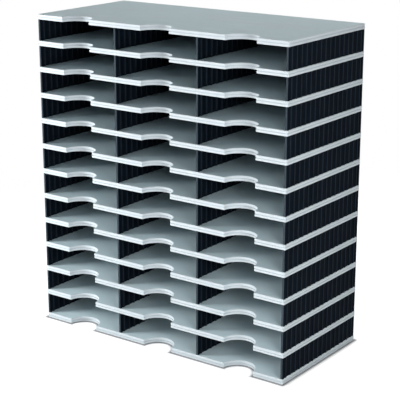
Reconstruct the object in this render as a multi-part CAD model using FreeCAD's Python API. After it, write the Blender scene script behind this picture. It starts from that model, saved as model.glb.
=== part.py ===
import FreeCAD, Part
import math
import os

# Document sorting station: thirteen light grey shelf plates stacked on near black walls.
# Every level has two side walls, two dividers and three rear panels, pushed into the plates.
# Millimetres, +Z up. The front looks along -Y, and the origin is on the floor under the middle.

# Overall size and count
plate_width = 723.0
plate_depth = 331.0
shelf_thickness = 12.9
wall_height = 51.7
level_count = 12
column_count = 3

# Finger cut-outs along the front of every plate
notch_radius = 41.0
notch_depth = 39.2
notch_mouth_radius = 2.0

# Edge of a plate
plate_corner_radius = 3.0
plate_edge_radius = 1.6
edge_groove_height = 2.0
edge_groove_depth = 1.4

# Hollow underside of a plate
deck_thickness = 3.0
rim_width = 3.0
beam_width = 9.0
stiffener_width = 2.6
stiffeners_across = 4
stiffeners_per_column = 2

# Walls and dividers, ribbed on both faces
wall_thickness = 7.0
wall_web = 3.0
wall_end_inset = 1.0
wall_side_inset = 0.5
rib_pitch = 20.0
rib_width = 8.0
post_length = 6.5
wall_corner_radius = 2.4

# Rear panels, ribbed on the outside only
rear_panel_thickness = 4.0
rear_panel_web = 2.6
rear_panel_corner_radius = 1.2
rear_panel_side_gap = 0.3
rear_panel_inset = 1.0

# Push fit of the walls and rear panels in the plates
tongue_length = 24.0
tongue_setback = 45.0
tongue_chamfer = 0.7
socket_web = 3.5
socket_end_gap = 0.4
socket_side_gap = 0.15

# Places that follow from the sizes above
level_pitch = shelf_thickness + wall_height
total_height = level_count * level_pitch + shelf_thickness
front_y = -plate_depth / 2
rear_y = plate_depth / 2
wall_length = plate_depth - 2 * wall_end_inset
outer_wall_x = plate_width / 2 - wall_side_inset - wall_thickness / 2
column_pitch = 2 * outer_wall_x / column_count
column_width = column_pitch - wall_thickness
rear_panel_length = column_width - 2 * rear_panel_side_gap
socket_depth = (shelf_thickness - socket_web) / 2
tongue_height = socket_depth - socket_end_gap
wall_lines = [-outer_wall_x + line * column_pitch for line in range(column_count + 1)]
column_centres = [(left + right) / 2 for left, right in zip(wall_lines, wall_lines[1:])]
rear_panel_rear_y = rear_y - rear_panel_inset
rear_panel_web_y = rear_panel_rear_y - rear_panel_thickness + rear_panel_web / 2


def point(x, y, z=0.0):
    return FreeCAD.Vector(x, y, z)


def line(start, end):
    return Part.LineSegment(start, end).toShape()


def arc(centre, radius, start_angle, end_angle):
    """Arc about a centre from one angle in degrees to the other."""
    spots = []
    for angle in (start_angle, (start_angle + end_angle) / 2, end_angle):
        turn = math.radians(angle)
        spots.append(centre + point(radius * math.cos(turn), radius * math.sin(turn)))
    return Part.Arc(*spots).toShape()


def box(x_range, y_range, z_range):
    """Box between the low and high values given for each axis."""
    low = point(x_range[0], y_range[0], z_range[0])
    high = point(x_range[1], y_range[1], z_range[1])
    size = high - low
    return Part.makeBox(size.x, size.y, size.z, low)


def around(middle, length):
    """Low and high values of a stretch centred on a place."""
    return middle - length / 2, middle + length / 2


def face_inside(edges):
    return Part.Face(Part.Wire(Part.__sortEdges__(edges)))


def tongue_stations(length):
    """Places of the tongues along a wall or panel, measured from its middle."""
    reach = length / 2 - tongue_setback
    return [-reach, 0.0, reach]


def plate_face():
    """Plan of a plate: a rectangle with round corners and a finger cut-out before each column.

    A cut-out is an arc whose centre lies just ahead of the front edge, and a small arc
    that touches both rounds each corner of its mouth.
    """
    half_width = plate_width / 2
    corner = plate_corner_radius
    mouth = notch_mouth_radius
    ahead = notch_radius - notch_depth
    reach = math.sqrt((notch_radius + mouth) ** 2 - (ahead + mouth) ** 2)
    lean = math.degrees(math.atan2(ahead + mouth, reach))
    edges = [
        arc(point(-half_width + corner, front_y + corner), corner, 180, 270),
        arc(point(half_width - corner, front_y + corner), corner, 270, 360),
        arc(point(half_width - corner, rear_y - corner), corner, 0, 90),
        arc(point(-half_width + corner, rear_y - corner), corner, 90, 180),
        line(point(half_width, front_y + corner), point(half_width, rear_y - corner)),
        line(point(half_width - corner, rear_y), point(-half_width + corner, rear_y)),
        line(point(-half_width, rear_y - corner), point(-half_width, front_y + corner)),
    ]
    run_start = -half_width + corner
    for centre_x in column_centres:
        edges.append(line(point(run_start, front_y), point(centre_x - reach, front_y)))
        edges.append(arc(point(centre_x - reach, front_y + mouth), mouth, 270, 360 - lean))
        edges.append(arc(point(centre_x, front_y - ahead), notch_radius, 180 - lean, lean))
        edges.append(arc(point(centre_x + reach, front_y + mouth), mouth, 180 + lean, 270))
        run_start = centre_x + reach
    edges.append(line(point(run_start, front_y), point(half_width - corner, front_y)))
    return face_inside(edges)


def edge_groove(plan):
    """Ring that cuts a shallow line round the plate, halfway up its edge."""
    bottom = (shelf_thickness - edge_groove_height) / 2
    lift = point(0, 0, edge_groove_height)
    ring = plan.makeOffset2D(edge_groove_depth).extrude(lift)
    core = plan.makeOffset2D(-edge_groove_depth).extrude(lift)
    groove = ring.cut(core)
    groove.translate(point(0, 0, bottom))
    return groove


def underside_pockets(plan):
    """Hollows below the deck, between the rim, the beams under the walls and thin stiffeners."""
    depth = shelf_thickness - deck_thickness
    hollow = plan.makeOffset2D(-rim_width).extrude(point(0, 0, depth))
    across = (-plate_width, plate_width)
    along = (front_y, rear_y)
    upright = (0, depth)
    kept = [box(around(x, beam_width), along, upright) for x in wall_lines]
    rear_beam_y = rear_y - beam_width
    kept.append(box(across, (rear_beam_y, rear_y), upright))
    bay_depth = (rear_beam_y - front_y - rim_width) / (stiffeners_across + 1)
    for bay in range(stiffeners_across):
        y = front_y + rim_width + (bay + 1) * bay_depth
        kept.append(box(across, around(y, stiffener_width), upright))
    bay_width = column_pitch / (stiffeners_per_column + 1)
    for line_x in wall_lines[:-1]:
        for bay in range(stiffeners_per_column):
            x = line_x + (bay + 1) * bay_width
            kept.append(box(around(x, stiffener_width), along, upright))
    return hollow.cut(kept)


def sockets(bottom):
    """Slots for the tongues of one level, with their lower end at the given height."""
    slot_length = tongue_length + 2 * socket_side_gap
    wall_slot = wall_web + 2 * socket_side_gap
    rear_slot = rear_panel_web + 2 * socket_side_gap
    upright = (bottom, bottom + socket_depth)
    slots = []
    for x in wall_lines:
        for station in tongue_stations(wall_length):
            slots.append(box(around(x, wall_slot), around(station, slot_length), upright))
    for centre_x in column_centres:
        for station in tongue_stations(rear_panel_length):
            along = around(centre_x + station, slot_length)
            slots.append(box(along, around(rear_panel_web_y, rear_slot), upright))
    return slots


def shelf_plate(sockets_above):
    """One plate with its underside at height zero."""
    plan = plate_face()
    plate = plan.extrude(point(0, 0, shelf_thickness))
    rims = [edge for edge in plate.Edges if edge.BoundBox.ZLength < plate_edge_radius]
    plate = plate.makeFillet(plate_edge_radius, rims)
    cuts = [edge_groove(plan), underside_pockets(plan)]
    cuts += sockets(0.0)
    if sockets_above:
        cuts += sockets(shelf_thickness - socket_depth)
    return plate.cut(cuts)


def panel_side(length, web_face, crest, corner):
    """Plan of one long face: a post at each end and rounded ribs on the web between them.

    Each rib is an arc that rises from the web to the level of the posts.
    """
    half = length / 2
    start = -half + corner
    if crest == web_face:
        return [line(point(start, crest), point(-start, crest))]
    post = half - post_length
    free = 2 * post - rib_width
    gaps = int(free // rib_pitch)
    edges = [line(point(start, crest), point(-post, crest))]
    edges.append(line(point(-post, crest), point(-post, web_face)))
    run_start = -post
    for rib in range(gaps + 1):
        middle = (rib - gaps / 2) * rib_pitch
        foot = point(middle - rib_width / 2, web_face)
        far_foot = point(middle + rib_width / 2, web_face)
        edges.append(line(point(run_start, web_face), foot))
        edges.append(Part.Arc(foot, point(middle, crest), far_foot).toShape())
        run_start = far_foot.x
    edges.append(line(point(run_start, web_face), point(post, web_face)))
    edges.append(line(point(post, web_face), point(post, crest)))
    edges.append(line(point(post, crest), point(-start, crest)))
    return edges


def ribbed_panel(length, web, low_crest, high_crest, corner):
    """Upright panel along X with its web centred on Y, and tongues on its top and bottom."""
    half = length / 2
    edges = panel_side(length, -web / 2, low_crest, corner)
    edges += panel_side(length, web / 2, high_crest, corner)
    for end, angle in ((-half, 180), (half, 0)):
        inward = end + math.copysign(corner, -end)
        turn = math.copysign(90, end)
        edges.append(line(point(end, low_crest + corner), point(end, high_crest - corner)))
        edges.append(arc(point(inward, high_crest - corner), corner, angle, angle + turn))
        edges.append(arc(point(inward, low_crest + corner), corner, angle, angle - turn))
    panel = face_inside(edges).extrude(point(0, 0, wall_height))
    tongues = []
    upright = (-tongue_height, wall_height + tongue_height)
    for station in tongue_stations(length):
        tongue = box(around(station, tongue_length), around(0, web), upright)
        ends = [edge for edge in tongue.Edges if edge.BoundBox.ZLength < tongue_chamfer]
        tongues.append(tongue.makeChamfer(tongue_chamfer, ends))
    return panel.fuse(tongues).removeSplitter()


def placed(shape, x, y, z, turn=0.0):
    """Copy of a shape turned about the upright axis in degrees and moved to a place."""
    copy = shape.copy()
    copy.rotate(point(0, 0), point(0, 0, 1), turn)
    copy.translate(point(x, y, z))
    return copy


def save(name, solids):
    shape = solids[0] if len(solids) == 1 else Part.makeCompound(solids)
    shape.exportStep("parts/" + name + ".step")
    print(name, "solids", len(shape.Solids), "volume", round(shape.Volume))


def main():
    os.makedirs("parts", exist_ok=True)

    # Shelf plates, from the floor up
    shelf = shelf_plate(sockets_above=True)
    save("base_shelf", [placed(shelf, 0, 0, 0)])
    for level in range(1, level_count):
        save("shelf_%02d" % level, [placed(shelf, 0, 0, level * level_pitch)])
    save("top_shelf", [placed(shelf_plate(sockets_above=False), 0, 0, level_count * level_pitch)])

    # Walls, dividers and rear panels, level 1 being the lowest
    wall_crest = wall_thickness / 2
    wall = ribbed_panel(wall_length, wall_web, -wall_crest, wall_crest, wall_corner_radius)
    inside = -rear_panel_web / 2
    outside = inside + rear_panel_thickness
    rear_panel = ribbed_panel(rear_panel_length, rear_panel_web, inside, outside, rear_panel_corner_radius)
    for level in range(level_count):
        z = level * level_pitch + shelf_thickness
        walls = [placed(wall, x, 0, z, 90) for x in wall_lines]
        panels = [placed(rear_panel, x, rear_panel_web_y, z) for x in column_centres]
        save("side_walls_%02d" % (level + 1), [walls[0], walls[-1]])
        save("dividers_%02d" % (level + 1), walls[1:-1])
        save("rear_panels_%02d" % (level + 1), panels)
    print("height", round(total_height, 2), "column width", round(column_width, 2))


main()
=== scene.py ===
# %% [markdown]
# A document sorting station in Blender.
# The real one is a stack of thirteen light grey plastic plates, held apart by near black ribbed walls.
# The construction file already gives every plate, wall and rear panel at its real size, so this lesson
# is about what Blender adds: light, camera, and plastics that look moulded and used.
# Lengths are metres, +Z is up and the open front looks along -Y.

# %% Load the construction as a fixed frame
import math

import bpy
import numpy as np
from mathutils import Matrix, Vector


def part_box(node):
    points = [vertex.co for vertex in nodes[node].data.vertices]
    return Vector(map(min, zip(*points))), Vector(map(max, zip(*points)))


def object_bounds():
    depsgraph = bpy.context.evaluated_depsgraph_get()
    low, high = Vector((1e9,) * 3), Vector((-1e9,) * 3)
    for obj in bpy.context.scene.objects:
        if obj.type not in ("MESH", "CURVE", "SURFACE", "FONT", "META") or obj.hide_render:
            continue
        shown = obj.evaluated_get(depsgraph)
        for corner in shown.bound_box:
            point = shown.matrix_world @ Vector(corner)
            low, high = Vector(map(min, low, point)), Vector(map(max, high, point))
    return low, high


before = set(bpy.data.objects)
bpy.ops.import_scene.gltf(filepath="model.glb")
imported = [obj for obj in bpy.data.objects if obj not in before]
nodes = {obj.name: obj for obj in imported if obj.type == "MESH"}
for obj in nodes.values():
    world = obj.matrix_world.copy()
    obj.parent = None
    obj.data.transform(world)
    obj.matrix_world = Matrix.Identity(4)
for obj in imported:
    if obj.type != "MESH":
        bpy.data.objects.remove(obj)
built_low, built_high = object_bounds()
print("nodes", len(nodes), "box", [round(v, 4) for v in built_high - built_low])

# %% [markdown]
# Before any finish, the script asks the frame where things are. The plates have "shelf" in their names
# and everything else is a wall or a rear panel, so two lists are enough to dress the whole station.

# %% Sort the nodes into plates and walls
plate_names = sorted(name for name in nodes if "shelf" in name)
wall_names = sorted(name for name in nodes if name not in plate_names)
width = built_high.x - built_low.x
depth = built_high.y - built_low.y
height = built_high.z - built_low.z
front_y = built_low.y
print("plates", len(plate_names), "wall nodes", len(wall_names), "height", round(height, 4))

# %% [markdown]
# Shader maths reads best as plain arithmetic. Socket wraps one output of a node tree, and adding or
# multiplying two of them adds the Math node that does it. A mask is then written as its formula.

# %% Write shader maths as Python expressions
class Socket:
    """One output socket, with arithmetic that grows the node tree."""

    def __init__(self, tree, output):
        self.tree = tree
        self.output = output

    def math(self, operation, first, second=0.0):
        return self.tree.node("ShaderNodeMath", {"operation": operation}, {0: first, 1: second})

    def __add__(self, other):
        return self.math("ADD", self, other)

    def __radd__(self, other):
        return self.math("ADD", other, self)

    def __sub__(self, other):
        return self.math("SUBTRACT", self, other)

    def __rsub__(self, other):
        return self.math("SUBTRACT", other, self)

    def __mul__(self, other):
        return self.math("MULTIPLY", self, other)

    def __rmul__(self, other):
        return self.math("MULTIPLY", other, self)

    def size(self):
        return self.math("ABSOLUTE", self)

    def root(self):
        return self.math("SQRT", self)

    def at_least(self, other):
        return self.math("MAXIMUM", self, other)

    def at_most(self, other):
        return self.math("MINIMUM", self, other)

    def folded(self, span):
        """Distance from the nearest even multiple of the span, at most the span."""
        return self.math("PINGPONG", self, span)

    def ramp(self, start, end):
        """0 up to the start and 1 from the end on, with a smooth blend between them."""
        inputs = {"Value": self, "From Min": start, "From Max": end}
        return self.tree.node("ShaderNodeMapRange", {"interpolation_type": "SMOOTHSTEP"}, inputs)

    def above(self, edge, softness):
        """0 below the edge and 1 above it, blended smoothly over the softness on both sides."""
        return self.ramp(edge - softness, edge + softness)


# %% [markdown]
# Everything that isn't arithmetic, such as a noise, a ramp or a shader, comes from one method of Tree.
# It sets a node's options before its inputs, because an option can change which inputs count. The other
# methods name the few nodes that both plastics and the floor need.

# %% Add every other node through one method
class Tree:
    """A node tree under construction."""

    def __init__(self, owner):
        owner.use_nodes = True
        self.nodes = owner.node_tree.nodes
        self.links = owner.node_tree.links
        self.nodes.clear()

    def node(self, kind, settings=None, inputs=None, output=0):
        """Add a node, set its options, fill or link its inputs, and hand back one output."""
        made = self.nodes.new(kind)
        for name, value in (settings or {}).items():
            setattr(made, name, value)
        for name, value in (inputs or {}).items():
            if isinstance(value, Socket):
                self.links.new(value.output, made.inputs[name])
            else:
                made.inputs[name].default_value = value
        return Socket(self, made.outputs[output]) if made.outputs else None

    def place(self):
        """Where a point of the surface is, in the object's own metres."""
        return self.node("ShaderNodeTexCoord", None, None, "Object")

    def facing(self):
        """Which way the surface looks, as a direction of length 1."""
        return self.node("ShaderNodeNewGeometry", None, None, "Normal")

    def axis(self, vector, letter):
        """The x, y or z of a vector."""
        return self.node("ShaderNodeSeparateXYZ", None, {0: vector}, "xyz".index(letter))

    def noise(self, place, scale, detail=2.0, roughness=0.5):
        """Noise from 0 to 1 with so many blotches to the metre."""
        inputs = {"Vector": place, "Scale": scale, "Detail": detail, "Roughness": roughness}
        return self.node("ShaderNodeTexNoise", None, inputs, "Fac")

    def stretched(self, place, scale):
        """Coordinates scaled by axis, which draws a pattern out along the axes with small numbers."""
        return self.node("ShaderNodeMapping", None, {"Vector": place, "Scale": scale})

    def blend(self, share, first, second):
        """Mix of two colours."""
        inputs = {0: share, 6: first, 7: second}
        return self.node("ShaderNodeMix", {"data_type": "RGBA"}, inputs, 2)

    def bump(self, relief, distance, strength=1.0, under=None):
        """Surface normal from a height in the range 0 to 1 and the real depth of that range."""
        inputs = {"Strength": strength, "Distance": distance, "Height": relief}
        if under is not None:
            inputs["Normal"] = under
        return self.node("ShaderNodeBump", None, inputs)


# %% [markdown]
# Both plastics are one kind of material, a Principled shader. A finish is a function that says what
# changes over the surface: colour, roughness and normal. What is the same all over, such as how strongly
# the plastic reflects, is set on the shader's own sockets.

# %% Turn a finish into a material
def plastic(name, finish, constants):
    """Material with one Principled shader. The finish gives what varies, the constants stay as they are."""
    material = bpy.data.materials.new(name)
    tree = Tree(material)
    shader = tree.node("ShaderNodeBsdfPrincipled", None, {**constants, **finish(tree, tree.place())})
    tree.node("ShaderNodeOutputMaterial", None, {"Surface": shader})
    print("material", name, "nodes", len(tree.nodes))
    return material


# %% [markdown]
# The plates are light grey moulded polystyrene with a satin face. Up close such a face is never one
# colour: it has a fine eroded grain from the mould, faint flow bands that run along the plate, a little
# dust on what looks up, and rubbed patches that shine more. What looks up is also painted a lighter,
# cooler grey than the edges, painted light for the tone the top takes on where light falls on it, and the
# groove round each plate's edge is painted darker, a painted shade in the recess. A photograph used as a
# texture would repeat and carry its own light, so each of these is a noise of the right real size, or
# follows from the normal and the height of a point. The groove needs no mask for each plate: the height
# is folded at every level, so one line of maths finds all thirteen.

# %% Choose the greys and the pattern sizes of the plates
plate_grey = (0.585, 0.65, 0.685, 1.0)
plate_grey_dull = (0.55, 0.615, 0.65, 1.0)
# Painted light: a lighter, cooler grey for faces that look up, the tone the top takes on where light falls.
painted_top_grey = (0.585, 0.745, 0.795, 1.0)
dust_grey = (0.63, 0.71, 0.73, 1.0)
# Painted shade: a darker grey for the groove round each plate's edge, the shade in the recess.
groove_shade_grey = (0.49, 0.55, 0.58, 1.0)

flow_stretch = (2.0, 16.0, 16.0)
flow_scale = 1.6
blotch_scale = 11.0
dust_scale = 55.0
dust_cover = 0.35
rubbed_stretch = (5.0, 22.0, 22.0)
rubbed_scale = 2.2
grain_scale = 1500.0
grain_depth = 0.00004
sag_scale = 7.0
sag_depth = 0.0006
plate_roughness = 0.5

groove_height = 0.002
groove_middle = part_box("base_shelf")[1].z / 2
level_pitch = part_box("shelf_01")[0].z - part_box("base_shelf")[0].z
print("groove at", round(groove_middle, 5), "and every", round(level_pitch, 4))

# %% [markdown]
# The noises crowd round a half, so a threshold a little above it marks the smaller part of a face. Two
# bumps are stacked for the normal: a wide shallow sag of the sheet, and the grain on top of it.

# %% Make the light grey plastic of the plates
def plate_finish(tree, place):
    """Varying inputs of the plate plastic: colour, roughness and normal."""
    bands = tree.noise(tree.stretched(place, flow_stretch), flow_scale, 3.0)
    blotches = tree.noise(place, blotch_scale, 3.0)
    dullness = (bands * 0.6 + blotches * 0.4).above(0.52, 0.2)
    colour = tree.blend(dullness, plate_grey, plate_grey_dull)

    # Painted light: faces that look up blend towards the lighter, cooler top grey.
    upward = tree.axis(tree.facing(), "z").above(0.9, 0.08)
    colour = tree.blend(upward * (1.0 - dullness * 0.3), colour, painted_top_grey)
    dust = tree.noise(place, dust_scale, 5.0, 0.6).above(0.56, 0.16) * upward * dust_cover
    colour = tree.blend(dust, colour, dust_grey)

    # Painted shade: a thin darker band at the groove's height on every level.
    off_groove = (tree.axis(place, "z") - groove_middle).folded(level_pitch / 2)
    colour = tree.blend(1.0 - off_groove.above(groove_height / 2, 0.0002), colour, groove_shade_grey)

    rubbed = tree.noise(tree.stretched(place, rubbed_stretch), rubbed_scale, 4.0).above(0.6, 0.12)
    grain = tree.noise(place, grain_scale, 2.0)
    sag = tree.noise(place, sag_scale, 1.0)
    normal = tree.bump(grain, grain_depth, 0.5, tree.bump(sag, sag_depth, 0.35))
    return {"Base Color": colour, "Roughness": plate_roughness + dust * 0.3 - rubbed * 0.1, "Normal": normal}


plate_constants = {"IOR": 1.59, "Specular IOR Level": 0.12}
plate_plastic = plastic("light grey moulded plastic", plate_finish, plate_constants)

# %% [markdown]
# The walls are the same plastic, coloured through with a blue black. Black shows light only where it
# glances, so its finish is mostly roughness: an even grain and rubbed streaks along the ribs. What
# catches the front light is painted paler, a painted highlight: the front ends of the walls most, and the
# crests of the ribs a little. The distance from the nearest wall line tells a crest from the hollow beside
# it, and from the rear panels, which are the same plastic and get no painted highlight.

# %% Choose the blacks of the walls and where they get a painted highlight
wall_black = (0.0029, 0.0055, 0.0094, 1.0)
wall_black_worn = (0.005, 0.0085, 0.0135, 1.0)
# Painted highlight: the paler colour of the wall ends and rib crests where front light catches them.
wall_highlight_grey = (0.060, 0.077, 0.094, 1.0)

streak_stretch = (30.0, 30.0, 3.0)
streak_scale = 1.5
wear_scale = 40.0
wall_roughness = 0.42

end_zone = 0.004
post_length = 0.0065
crest_start = 0.0026
crest_full = 0.0035
crest_fades = 0.0037
crest_gone = 0.0042
crest_highlight_share = 0.22

wall_thickness = 0.007
divider_low, divider_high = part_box("dividers_01")
wall_pitch = divider_high.x - divider_low.x - wall_thickness
first_wall = divider_low.x + wall_thickness / 2
print("walls every", round(wall_pitch, 5), "from", round(first_wall, 5))

# %% [markdown]
# The walls stand at one pitch, so the distance from the nearest of them comes from folding x at half of
# that pitch. At the very front only what really looks forward gets the painted highlight, which leaves
# the rounded sides of a post dark and draws its face as a thin pale line.

# %% Make the near black plastic of the walls
def wall_finish(tree, place):
    """Varying inputs of the wall plastic: colour, roughness and normal."""
    streaks = tree.noise(tree.stretched(place, streak_stretch), streak_scale, 4.0)
    wear = (streaks * 0.7 + tree.noise(place, wear_scale, 3.0) * 0.3).above(0.55, 0.15)
    colour = tree.blend(wear, wall_black, wall_black_worn)

    # Painted highlight: what looks forward at the very front of a wall, and the rib crests a little, is
    # painted paler.
    frontward = 0.0 - tree.axis(tree.facing(), "y")
    from_front = tree.axis(place, "y") - divider_low.y
    at_end = (end_zone - from_front).ramp(0.0, end_zone / 2)
    end_highlight = frontward.ramp(0.75, 1.0) * at_end

    off_wall = (tree.axis(place, "x") - first_wall).folded(wall_pitch / 2)
    crest = off_wall.ramp(crest_start, crest_full) * (1.0 - off_wall.ramp(crest_fades, crest_gone))
    past_post = from_front.ramp(post_length, post_length + 0.001)
    painted_highlight = end_highlight.at_least(crest * past_post * crest_highlight_share)
    colour = tree.blend(painted_highlight * (0.7 + wear * 0.3), colour, wall_highlight_grey)

    normal = tree.bump(tree.noise(place, grain_scale, 2.0), grain_depth, 0.6)
    return {"Base Color": colour, "Roughness": wall_roughness + wear * 0.12, "Normal": normal}


wall_constants = {"IOR": 1.59, "Specular IOR Level": 0.006}
wall_plastic = plastic("near black moulded plastic", wall_finish, wall_constants)

# %% [markdown]
# A moulded piece is one plastic all through, so each node gets one material slot. The pieces stay
# separate objects: joined ones would be quicker to dress, but could no longer be taken apart.

# %% Dress the plates and the walls
for names, material in ((plate_names, plate_plastic), (wall_names, wall_plastic)):
    for name in names:
        mesh = nodes[name].data
        mesh.materials.clear()
        mesh.materials.append(material)
print("dressed", len(plate_names) + len(wall_names), "nodes")

# %% [markdown]
# The station stands on a plain pale floor. It is a sheet of a few large squares, worked out as a grid of
# points and a table of corners. A plain plane from the menu would do as well, but would not show how
# any surface of two parameters is made.

# %% Lay the floor
floor_reach = 9.0


def flat_grid(name, half_size, steps):
    """Level square sheet: x and y run over the same evenly spaced values and z is 0."""
    line = np.linspace(-half_size, half_size, steps)
    x, y = np.meshgrid(line, line)
    points = np.stack([x, y, np.zeros_like(x)], axis=-1).reshape(-1, 3)
    first = (np.arange(steps - 1)[:, None] * steps + np.arange(steps - 1)).reshape(-1, 1)
    faces = first + np.array([0, 1, steps + 1, steps])
    mesh = bpy.data.meshes.new(name)
    mesh.from_pydata(points.tolist(), [], faces.tolist())
    sheet = bpy.data.objects.new(name, mesh)
    bpy.context.scene.collection.objects.link(sheet)
    return sheet


floor = flat_grid("floor", floor_reach, 9)
print("floor", 2 * floor_reach, "m square")

# %% [markdown]
# The floor's paint follows from the distance to the object, so that is worked out first. Outside the
# plan of the base it is the distance from a rectangle. The three cut-outs are part of the plan's outside,
# so inside each of their circles it is the distance in from the rim instead.

# %% Measure the gap from the base on the floor
cutout_radius = 0.041
cutout_ahead = 0.0018

floor_paint = bpy.data.materials.new("pale floor")
tree = Tree(floor_paint)
place = tree.place()
x = tree.axis(place, "x")
y = tree.axis(place, "y")


def length(first, second):
    """Length of the slope over two sides at right angles."""
    return (first * first + second * second).root()


beside = x.size().at_least(width / 2) - width / 2
before = y.size().at_least(depth / 2) - depth / 2
gap = length(beside, before)
for column in (-1, 0, 1):
    from_middle = x - column * wall_pitch
    from_front = y - (front_y - cutout_ahead)
    gap = gap.at_least(cutout_radius - length(from_middle, from_front))
print("floor nodes so far", len(tree.nodes))

# %% [markdown]
# The floor should look white to the camera and still keep the soft shadow. So for rays from the camera,
# and for those mirrored by a shiny surface, some glow is added to its plain diffuse surface, and from
# about a metre away it fades into the white of the surround. Close to the object the floor has no glow
# and a darker paint, a painted contact shadow under the edges and in the cut-outs. Light on the object
# hardly changes by any of it.

# %% Mix the paint of the floor
white = (1.0, 1.0, 1.0, 1.0)
floor_white = (0.86, 0.86, 0.86, 1.0)
floor_glow = 0.62
contact_shade = (0.28, 0.28, 0.29, 1.0)
contact_reach = 0.013
floor_fade_start = 0.9
floor_fade_end = 1.7


def seen_rays(tree):
    """1 for rays from the camera, a reflection or a clear body, and 0 for the rest."""
    outputs = ("Is Camera Ray", "Is Glossy Ray", "Is Transmission Ray")
    camera_ray, mirrored, through = [tree.node("ShaderNodeLightPath", None, None, name) for name in outputs]
    return (camera_ray + mirrored + through).at_most(1.0)


seen = seen_rays(tree)
shaded = tree.node("ShaderNodeBsdfDiffuse", None, {"Color": contact_shade})
matt = tree.node("ShaderNodeBsdfDiffuse", None, {"Color": floor_white})
glow = tree.node("ShaderNodeEmission", None, {"Color": white, "Strength": seen * floor_glow})
lit = tree.node("ShaderNodeAddShader", None, {0: matt, 1: glow})
# Painted contact shadow: within contact_reach of the base the floor blends to a dark diffuse with no glow.
near = tree.node("ShaderNodeMixShader", None, {0: gap.ramp(0.0, contact_reach), 1: shaded, 2: lit})
far = tree.node("ShaderNodeEmission", None, {"Color": white, "Strength": 1.0})
fade = length(x, y).ramp(floor_fade_start, floor_fade_end) * seen
surface = tree.node("ShaderNodeMixShader", None, {0: fade, 1: near, 2: far})
tree.node("ShaderNodeOutputMaterial", None, {"Surface": surface})
floor.data.materials.append(floor_paint)
print("material", floor_paint.name, "nodes", len(tree.nodes))

# %% [markdown]
# Behind everything is the surround. It is white where the camera or a reflection sees it, and gives the
# object only a little even light, because the insides of the real station fade to black.

# %% Set the surround
surround = 0.025
world = bpy.data.worlds.new("studio")
bpy.context.scene.world = world
tree = Tree(world)
seen = seen_rays(tree)
sky = tree.node("ShaderNodeBackground", None, {"Color": white, "Strength": seen + (1 - seen) * surround})
tree.node("ShaderNodeOutputWorld", None, {"Surface": sky})
print("surround", surround)

# %% [markdown]
# Light: in the photograph the front edges are bright, the side edges darker and the top is grey, and the
# insides fade to black with depth, sooner in the upper levels. So two large lamps stand about as high as
# the object and well to either side of the compartments, which lets them reach only the front of a
# shelf. A weak lamp near the camera fills the cut-outs, and one above and behind lights the top alone.
# The last one stands behind, with its middle below the top, and gives the back its own plain light. Next
# to none of it reaches what the photograph shows.

# %% Place the lamps
def lamp(name, azimuth, reach, rise, aim, size, power):
    """Square soft lamp, placed by its turn to the right of the front in degrees, its reach and its rise."""
    turn = math.radians(azimuth)
    place = Vector((math.sin(turn) * reach, front_y - math.cos(turn) * reach, rise))
    data = bpy.data.lights.new(name, "AREA")
    data.shape = "SQUARE"
    data.size = size
    data.energy = power
    holder = bpy.data.objects.new(name, data)
    holder.location = place
    holder.rotation_euler = (aim - place).to_track_quat("-Z", "Y").to_euler()
    bpy.context.scene.collection.objects.link(holder)
    print(name, power, "W at", [round(v, 2) for v in place])


front_middle = Vector((0.0, front_y, height * 0.5))
top_middle = Vector((0.0, 0.0, height))
rear_middle = Vector((0.0, front_y + depth, height * 0.5))
lamp("left lamp", azimuth=-56.0, reach=1.7, rise=0.63, aim=front_middle, size=0.6, power=33.5)
lamp("right lamp", azimuth=64.5, reach=1.7, rise=0.8, aim=front_middle, size=0.7, power=16.6)
lamp("front lamp", azimuth=25.0, reach=1.7, rise=0.38, aim=front_middle, size=0.6, power=8.4)
lamp("overhead lamp", azimuth=180.0, reach=0.6, rise=2.3, aim=top_middle, size=1.2, power=11.6)
lamp("rear lamp", azimuth=180.0, reach=2.1, rise=0.7, aim=rear_middle, size=0.8, power=14.0)

# %% [markdown]
# The camera stands to the right of the front and a little above it, far enough away for a mild
# perspective. Its place is worked out from two angles and a distance, as on a tripod that turns round
# a point of the object.

# %% Place the camera
camera_azimuth = math.radians(36.09)
camera_elevation = math.radians(16.13)
camera_distance = 2.872
camera_target = Vector((0.1289, front_y, 0.4003))
camera_lens = 112.45
sensor_width = 36.0

back = Vector((
    math.sin(camera_azimuth) * math.cos(camera_elevation),
    -math.cos(camera_azimuth) * math.cos(camera_elevation),
    math.sin(camera_elevation),
))
camera_data = bpy.data.cameras.new("camera")
camera_data.sensor_width = sensor_width
camera_data.lens = camera_lens
camera = bpy.data.objects.new("camera", camera_data)
camera.location = camera_target + back * camera_distance
camera.rotation_euler = (-back).to_track_quat("-Z", "Y").to_euler()
bpy.context.scene.collection.objects.link(camera)
bpy.context.scene.camera = camera
bpy.context.scene.view_settings.view_transform = "Standard"
print("camera at", [round(v, 3) for v in camera.location])
